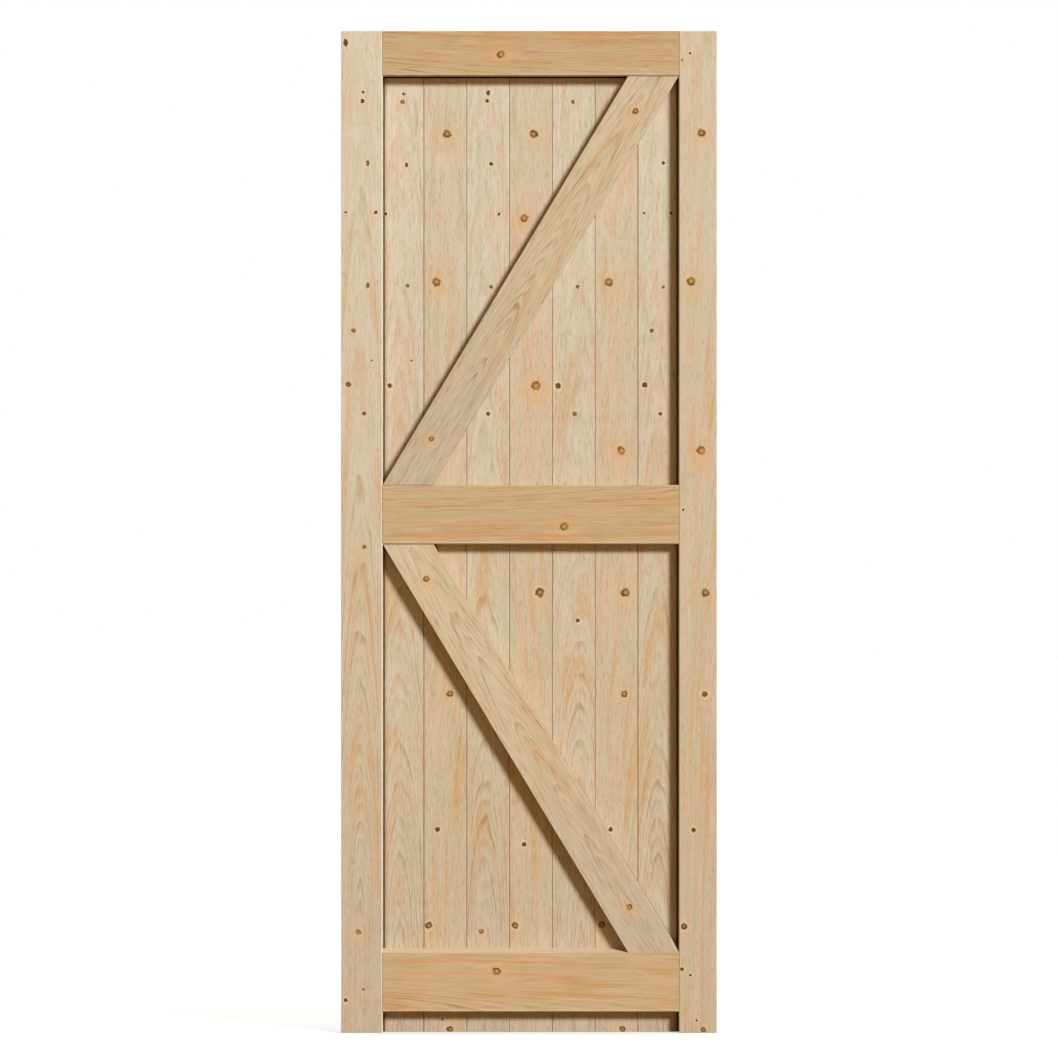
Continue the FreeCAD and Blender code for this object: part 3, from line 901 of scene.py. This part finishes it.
def tinted(amount, under, over, how="MIX"):
    """One colour laid over another by an amount, which is a field."""
    inputs = {0: amount, 6: under, 7: over}
    return add_node(amount.tree, "Mix", inputs, data_type="RGBA", blend_type=how).outputs[2]


def empty_tree(owner):
    """The node tree of a material or a world, emptied."""
    owner.use_nodes = True
    owner.node_tree.nodes.clear()
    return owner.node_tree


def new_material(name):
    """A material, its tree, and its shader, which is linked to its output."""
    material = bpy.data.materials.new(name)
    tree = empty_tree(material)
    shader = add_node(tree, "BsdfPrincipled")
    add_node(tree, "OutputMaterial", {"Surface": shader.outputs[0]})
    return material, tree, shader


# How wide, how long and how finely broken the patches of the pine's figure are, in millimetres. Then
# the same for the wedges, with how far apart their rings lie, and the size of the zinc's spangles.
Figure = namedtuple("Figure", "width length detail")
WANDER = Figure(70.0, 240.0, 1.0)
RIPPLE = Figure(16.0, 60.0, 1.0)
PATCH = Figure(15.0, 80.0, 1.0)
STREAK = Figure(7.0, 150.0, 2.0)
CLOUD = Figure(11.0, 130.0, 1.0)
FLECK_WIDTH = 2.2
BAND_RINGS, BAND_WIDTH, BAND_LENGTH = 8.0, 60.0, 260.0
PORE_WIDTH, PORE_LENGTH, PORE_DEPTH, PORE_BUMP = 0.9, 18.0, 0.1, 0.4
WEDGE_DRIFT = Figure(8.0, 60.0, 2.0)
WEDGE_FLECK = Figure(0.7, 30.0, 3.0)
WEDGE_RING_THROUGH, WEDGE_RING_UP = 2.6, 5.0
SPANGLE, SPECK = 2.0, 0.5

# How far the fibres are pushed aside by a knot, wander over the piece, and lead the heart astray.
KNOT_PUSH = 1.5
FIBRE_WANDER = 3.0
HEART_RIPPLE = 1.5
RING_WANDER = 0.3

# How fast the foot's darker, warmer colour fades with the way up, and the heights between which its grey
# fades out.
FOOT_FALL = 0.5 * MM
GREY_FOOT = (150.0, 540.0)

# Where on their noise the drifts and the flecks come on.
DRIFT_RISE = (-0.05, 0.42)
FLECK_RISE = (0.0, 0.55)

# How rough and how glossy planed and sawn pine are.
PLANED_ROUGHNESS, PLANED_GLOSS = 0.68, 0.12
SAWN_ROUGHNESS, SAWN_GLOSS = 0.72, 0.25


def pine(name, tone, grain, seed):
    """Planed pine. The fibres part round a knot as water parts round a post: a fibre at a distance s
    beside a knot of radius r, at a distance d from its heart, is pushed aside by s r r / d d, and the
    push fades out over a few radii. Growth rings are circles about the log's heart, so their number
    at a point is its distance from the heart over the ring's width. Each ring darkens slowly from its
    inner side and ends sharply. The heart sinks away by the hyperbolic tangent of the way along, which
    draws arches where it sinks and straight lines elsewhere.

    Over its pale and warm streaks lie rosy and cool drifts, then amber and bleached bands that follow
    the rings, the grey of the foot, the late wood, and dark and pale flecks. Sawn ends show the rings.
    Each knot has a halo, a pale surround where it is dead, a heart, and a rim darker on one side."""
    material, tree, shader = new_material(name)
    across, depth, along = split(tree, carried_by_mesh(tree, "timber", "Vector"))
    aside, beyond, radius = split(tree, carried_by_mesh(tree, "knot", "Vector"))
    life, end_grain, inlet, painted_highlight = [
        Field(tree, carried_by_mesh(tree, mark)) for mark in ("knot_life", "end_grain", "inlet", "painted_highlight")
    ]

    def figure(kind, beside, turned=False):
        """Noise drawn out along the grain, moved by the seed across it, or where turned, through it."""
        x, y = beside / kind.width, depth / kind.width
        x, y = (x, y + seed) if turned else (x + seed, y)
        return noise(x, y, along / kind.length, kind.detail)

    def laid(under, *coats):
        """A colour under coats of other colours, each an amount and a colour as it looks."""
        for amount, rgb in coats:
            under = tinted(amount, under, linear(rgb))
        return under

    u = aside / radius
    v = beyond / radius
    own = (along - beyond) * 0.37 + seed
    square = u * u + v * v
    coarse = noise(u * 0.9 + own, v * 0.9, own, 0.0)
    rough = noise(u * 2.6, v * 2.6 + own, own, 1.0)
    away = square.apply("SQRT") * (1.0 + coarse * 0.3 + rough * 0.35)
    push = aside / (square + 0.35) * (square * -0.04).apply("EXPONENT")
    wander = figure(WANDER, across)
    ripple = figure(RIPPLE, across, turned=True)
    fibre = across - push * KNOT_PUSH + wander * FIBRE_WANDER + ripple * grain.waver

    past = along - grain.arch_at
    sink = (past / grain.arch_run).apply("TANH") * (grain.climb * grain.arch_run) + past * HEART_DRIFT
    behind = sink + depth + grain.behind + ripple * HEART_RIPPLE
    offset = fibre - grain.heart
    reach = (offset * offset + behind * behind).apply("SQRT")
    ring = reach / grain.ring + wander * RING_WANDER
    within = ring.apply("FRACT")
    strength = each_its_own(ring.apply("FLOOR"))
    patch = figure(PATCH, fibre, turned=True).rise(-0.35, 0.35)
    ring_line = within.rise(0.25, 0.90) * (1.0 - within.rise(0.93, 1.0))
    foot = 1.0 - along * FOOT_FALL
    late = ring_line * (0.2 + 0.8 * strength * strength) * (0.25 + patch * 0.75) * (0.4 + foot * 0.6)

    fleck = figure(Figure(FLECK_WIDTH, grain.dash, 2.0), fibre)
    streak = figure(STREAK, fibre, turned=True)
    cloud = figure(CLOUD, fibre)
    band = noise(reach / BAND_RINGS + seed, across / BAND_WIDTH, along / BAND_LENGTH, 1.0)

    warmth = streak * 0.30 + 0.5 + (foot - 0.5) * grain.ripen
    colour = laid(
        linear(tone.pale),
        (warmth.rise(0.0, 1.0), tone.warm),
        (cloud.rise(*DRIFT_RISE) * 0.80, tone.blush),
        ((0.0 - cloud).rise(*DRIFT_RISE) * 0.75, tone.cool),
        (band.rise(0.02, 0.50) * (0.22 + foot * 0.53), tone.amber),
    )
    if grain.ripen:
        colour = laid(colour, ((0.0 - band).rise(0.05, 0.55) * foot * (0.7 * grain.ripen), tone.pale))
    if grain.dull:
        colour = laid(colour, ((1.0 - along.rise(*GREY_FOOT)) * grain.dull, DULL_FOOT))
    colour = laid(
        colour,
        (late * grain.mark, tone.late),
        (fleck.rise(*FLECK_RISE) * (0.50 * grain.fleck), tone.late),
        ((0.0 - fleck).rise(*FLECK_RISE) * (0.45 * grain.fleck), tone.pale),
    )
    # Darker towards the foot.
    colour = tinted(foot * grain.ripen, colour, FOOT_DARKENED, "MULTIPLY")

    lean = u * (own * 5.0).apply("SINE") + v * (own * 7.0 + 2.0).apply("SINE")
    below = v + 0.8
    spread = (u * u * -0.11 - below * below * 0.06).apply("EXPONENT")
    deadness = (0.55 - life).apply("MAXIMUM", 0.0)
    colour = laid(
        colour,
        (end_grain * 0.6, SAWN_END),
        (ring_line * end_grain * (0.25 + 0.30 * strength), tone.late),
        (spread * (0.10 + life * 0.65) * (0.75 + coarse), KNOT_HALO),
        (away.rise(1.05, 1.35) * (1.0 - away.rise(1.40, 2.10)) * deadness, KNOT_SURROUND),
    )
    core = 1.0 - away.rise(0.75, 1.25)
    spot = (1.0 - away.rise(0.15, 0.65)) * life.rise(0.1, 0.6) * (1.0 - life * 0.6) * (1.0 - lean * 0.5)
    heart = laid(linear(DEAD_KNOT), (life.rise(0.05, 0.85), LIVE_KNOT), (spot, KNOT_HEART))
    rim = away.rise(0.30, 0.80) * (1.0 - away.rise(0.85, 1.30)) * (0.40 + 0.60 * lean.rise(-0.6, 0.6))
    rimmed = 0.45 + life.rise(0.0, 0.4) * 0.5 - life * 0.3
    # Last come the painted highlight on the arrises and the painted shade in joints and corners, neither
    # on sawn ends.
    long_grain = 1.0 - end_grain
    colour = laid(
        tinted(core, colour, heart),
        (rim * rimmed, KNOT_RIM),
        (painted_highlight * long_grain, ARRIS_HIGHLIGHT),
        (inlet * long_grain, JOINT_SHADE),
    )

    roughness = PLANED_ROUGHNESS - late * 0.10 - core * 0.15
    pores = noise(across / PORE_WIDTH, depth / PORE_WIDTH, along / PORE_LENGTH, 0.0)
    bump = add_node(tree, "Bump", {"Strength": PORE_BUMP, "Distance": PORE_DEPTH * MM, "Height": pores})
    feed(tree, shader, {
        "Base Color": colour,
        "Roughness": roughness,
        "Specular IOR Level": PLANED_GLOSS,
        "Normal": bump.outputs[0],
    })
    return material


def sawn_wedge():
    """Wedges: sawn pine with its grain along X. Its rings and flecks are noise drawn out along X."""
    material, tree, shader = new_material("sawn_wedge")
    x, y, z = place_on_leaf(tree)
    drift, fleck = [
        noise(x / kind.length, y / kind.width, z / kind.width, kind.detail)
        for kind in (WEDGE_DRIFT, WEDGE_FLECK)
    ]
    ring = (y / WEDGE_RING_THROUGH + z / WEDGE_RING_UP + drift * 0.8).apply("FRACT")
    late = ring.rise(0.4, 0.92) * (1.0 - ring.rise(0.94, 1.0))
    colour = tinted(fleck.rise(-0.5, 0.6), linear(PALE_WEDGE), linear(WARM_WEDGE))
    feed(tree, shader, {
        "Base Color": tinted(late * 0.5, colour, linear(LATE_WEDGE)),
        "Roughness": SAWN_ROUGHNESS + fleck * 0.06,
        "Specular IOR Level": SAWN_GLOSS,
    })
    return material


def dull_zinc():
    """The nails' zinc: grey spangles of two sizes, with a rougher bloom where the paler ones lie."""
    material, tree, shader = new_material("dull_zinc")
    x, y, z = place_on_leaf(tree)
    spangle = noise(x / SPANGLE, y / SPANGLE, z / SPANGLE, 2.0)
    speck = noise(x / SPECK, y / SPECK, z / SPECK, 1.0)
    bloom = (spangle + speck * 0.5).rise(-0.5, 0.5)
    feed(tree, shader, {
        "Base Color": tinted(bloom, linear(DARK_ZINC), linear(PALE_ZINC)),
        "Roughness": 0.40 + bloom * 0.25,
        "Metallic": 0.8,
    })
    return material


# Stage, in metres

FLOOR_REACH = 40.0
FLOOR_DROP = 0.0005
FLOOR_BOUNCE = (0.36, 0.25, 0.12, 1.0)
FLOOR_GREY = (0.35, 0.35, 0.35, 1.0)
FLOOR_GLOW = 0.78
FOOT_SHADE = 0.40
FOOT_SHADE_REACH = 0.25
FILL_COLOUR = (1.0, 0.66, 0.27, 1.0)
FILL_STRENGTH = 0.22
WHITE = (1.0, 1.0, 1.0, 1.0)
KEY_WAY = (-22.0, 28.0, -19.0)
KEY_SPREAD = 13.0
KEY_STRENGTH = 4.0
KEY_COLOUR = (0.82, 0.905, 1.0)
BACK_LAMPS = {"back_left": ((-2.2, 3.2, 1.9), 112.0), "back_right": ((3.0, 3.0, 1.6), 68.0)}
BACK_SIZE = 2.0
BACK_COLOUR = (0.90, 0.96, 1.0)
FIELD_WIDTH = 2.1462
CAMERA_DISTANCE = 14.0
CAMERA_HEIGHT = 1.0218
CAMERA_CLIP = 200.0
SENSOR_WIDTH = 36.0


def show_by_ray(tree, kind, otherwise, seen):
    """Ends a floor's or a world's tree in one shader for a ray from the camera, or one that a shiny or
    clear surface sends on, and another shader otherwise."""
    path = add_node(tree, "LightPath")
    camera, glossy, clear = [
        Field(tree, path.outputs[name])
        for name in ("Is Camera Ray", "Is Glossy Ray", "Is Transmission Ray")
    ]
    seen_directly = camera.apply("MAXIMUM", glossy).apply("MAXIMUM", clear)
    inputs = {0: seen_directly, 1: otherwise.outputs[0], 2: seen.outputs[0]}
    add_node(tree, f"Output{kind}", {"Surface": add_node(tree, "MixShader", inputs).outputs[0]})


def make_floor():
    """A wide pale floor that sends a warm light back to the leaf. Where it is seen directly it also
    glows: the glow and the light that falls on it come to white, so it keeps the leaf's shadow. By the
    foot of the leaf the glow dims with the share of the room that the leaf hides, a painted contact
    shadow."""
    mesh = bpy.data.meshes.new("floor")
    corners = [(-1, -1, 0), (1, -1, 0), (1, 1, 0), (-1, 1, 0)]
    mesh.from_pydata(np.array(corners) * FLOOR_REACH - (0, 0, FLOOR_DROP), [], [(0, 1, 2, 3)])
    floor = placed("floor", mesh)
    material = bpy.data.materials.new("pale_floor")
    tree = empty_tree(material)
    bounce = add_node(tree, "BsdfDiffuse", {"Color": FLOOR_BOUNCE})
    paint = add_node(tree, "BsdfDiffuse", {"Color": FLOOR_GREY})
    # A painted contact shadow round the leaf's foot.
    openness = add_node(tree, "AmbientOcclusion", {"Distance": FOOT_SHADE_REACH})
    hidden = 1.0 - Field(tree, openness.outputs["AO"])
    glow = add_node(tree, "Emission", {"Strength": (1.0 - hidden * FOOT_SHADE) * FLOOR_GLOW})
    both = add_node(tree, "AddShader", {0: paint.outputs[0], 1: glow.outputs[0]})
    show_by_ray(tree, "Material", bounce, both)
    mesh.materials.append(material)


def make_world():
    """Soft light from all round, and a white background where it is seen directly."""
    world = bpy.data.worlds.new("studio")
    tree = empty_tree(world)
    fill = add_node(tree, "Background", {"Color": FILL_COLOUR, "Strength": FILL_STRENGTH})
    show_by_ray(tree, "World", fill, add_node(tree, "Background", {"Color": WHITE}))
    bpy.context.scene.world = world


def aim(obj, direction):
    """Turns a lamp or camera, which looks along its own -Z, to look along a direction, Y kept up."""
    obj.rotation_euler = Vector(direction).to_track_quat("-Z", "Y").to_euler()


def make_lamps():
    """A key light from the upper right in front, and soft lights behind for the boarded face."""
    key = bpy.data.lights.new("key", "SUN")
    key.angle = math.radians(KEY_SPREAD)
    key.energy = KEY_STRENGTH
    key.color = KEY_COLOUR
    aim(placed("key", key), KEY_WAY)
    for name, (place, power) in BACK_LAMPS.items():
        light = bpy.data.lights.new(name, "AREA")
        light.energy = power
        light.size = BACK_SIZE
        light.color = BACK_COLOUR
        lamp = placed(name, light)
        lamp.location = place
        aim(lamp, LEAF_MIDDLE * MM - np.array(place))


def make_camera():
    """A camera square on to the braced face, far enough back that the sides of the recesses close up."""
    camera = bpy.data.cameras.new("camera")
    camera.sensor_width = SENSOR_WIDTH
    camera.lens = SENSOR_WIDTH * CAMERA_DISTANCE / FIELD_WIDTH
    camera.clip_end = CAMERA_CLIP
    obj = placed("camera", camera)
    obj.location = (LEAF_MIDDLE[0] * MM, BRACED_FACE * MM - CAMERA_DISTANCE, CAMERA_HEIGHT)
    aim(obj, (0, 1, 0))
    bpy.context.scene.camera = obj


# The leaf

SEED_STEP = 13.7


def dress_leaf():
    """Every piece of timber, in place of its plain solid. The wedges keep their solids."""
    timbers = [dress_stile("left"), dress_stile("right")]
    timbers += [dress_rail(rail) for rail in RAILS]
    timbers.append(dress_brace("upper_brace", 0.0))
    timbers.append(dress_brace("lower_brace", BOTTOM_RAIL_FALL))
    timbers += [dress_board(name) for name in BOARDS]
    for number, timber in enumerate(timbers):
        node = timber.name
        material = pine(f"{node}_pine", TONES[node], Grain(*GRAINS[node]), SEED_STEP * number)
        timber_piece = timber.build(material)
        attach(timber_piece, "root")
        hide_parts(node)
    wedge_material = sawn_wedge()
    for node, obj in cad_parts.items():
        if "_wedge_" in node:
            obj.data.materials.clear()
            obj.data.materials.append(wedge_material)


dress_leaf()
dress_nails()
make_floor()
make_world()
make_lamps()
make_camera()
bpy.context.scene.view_settings.view_transform = "Standard"
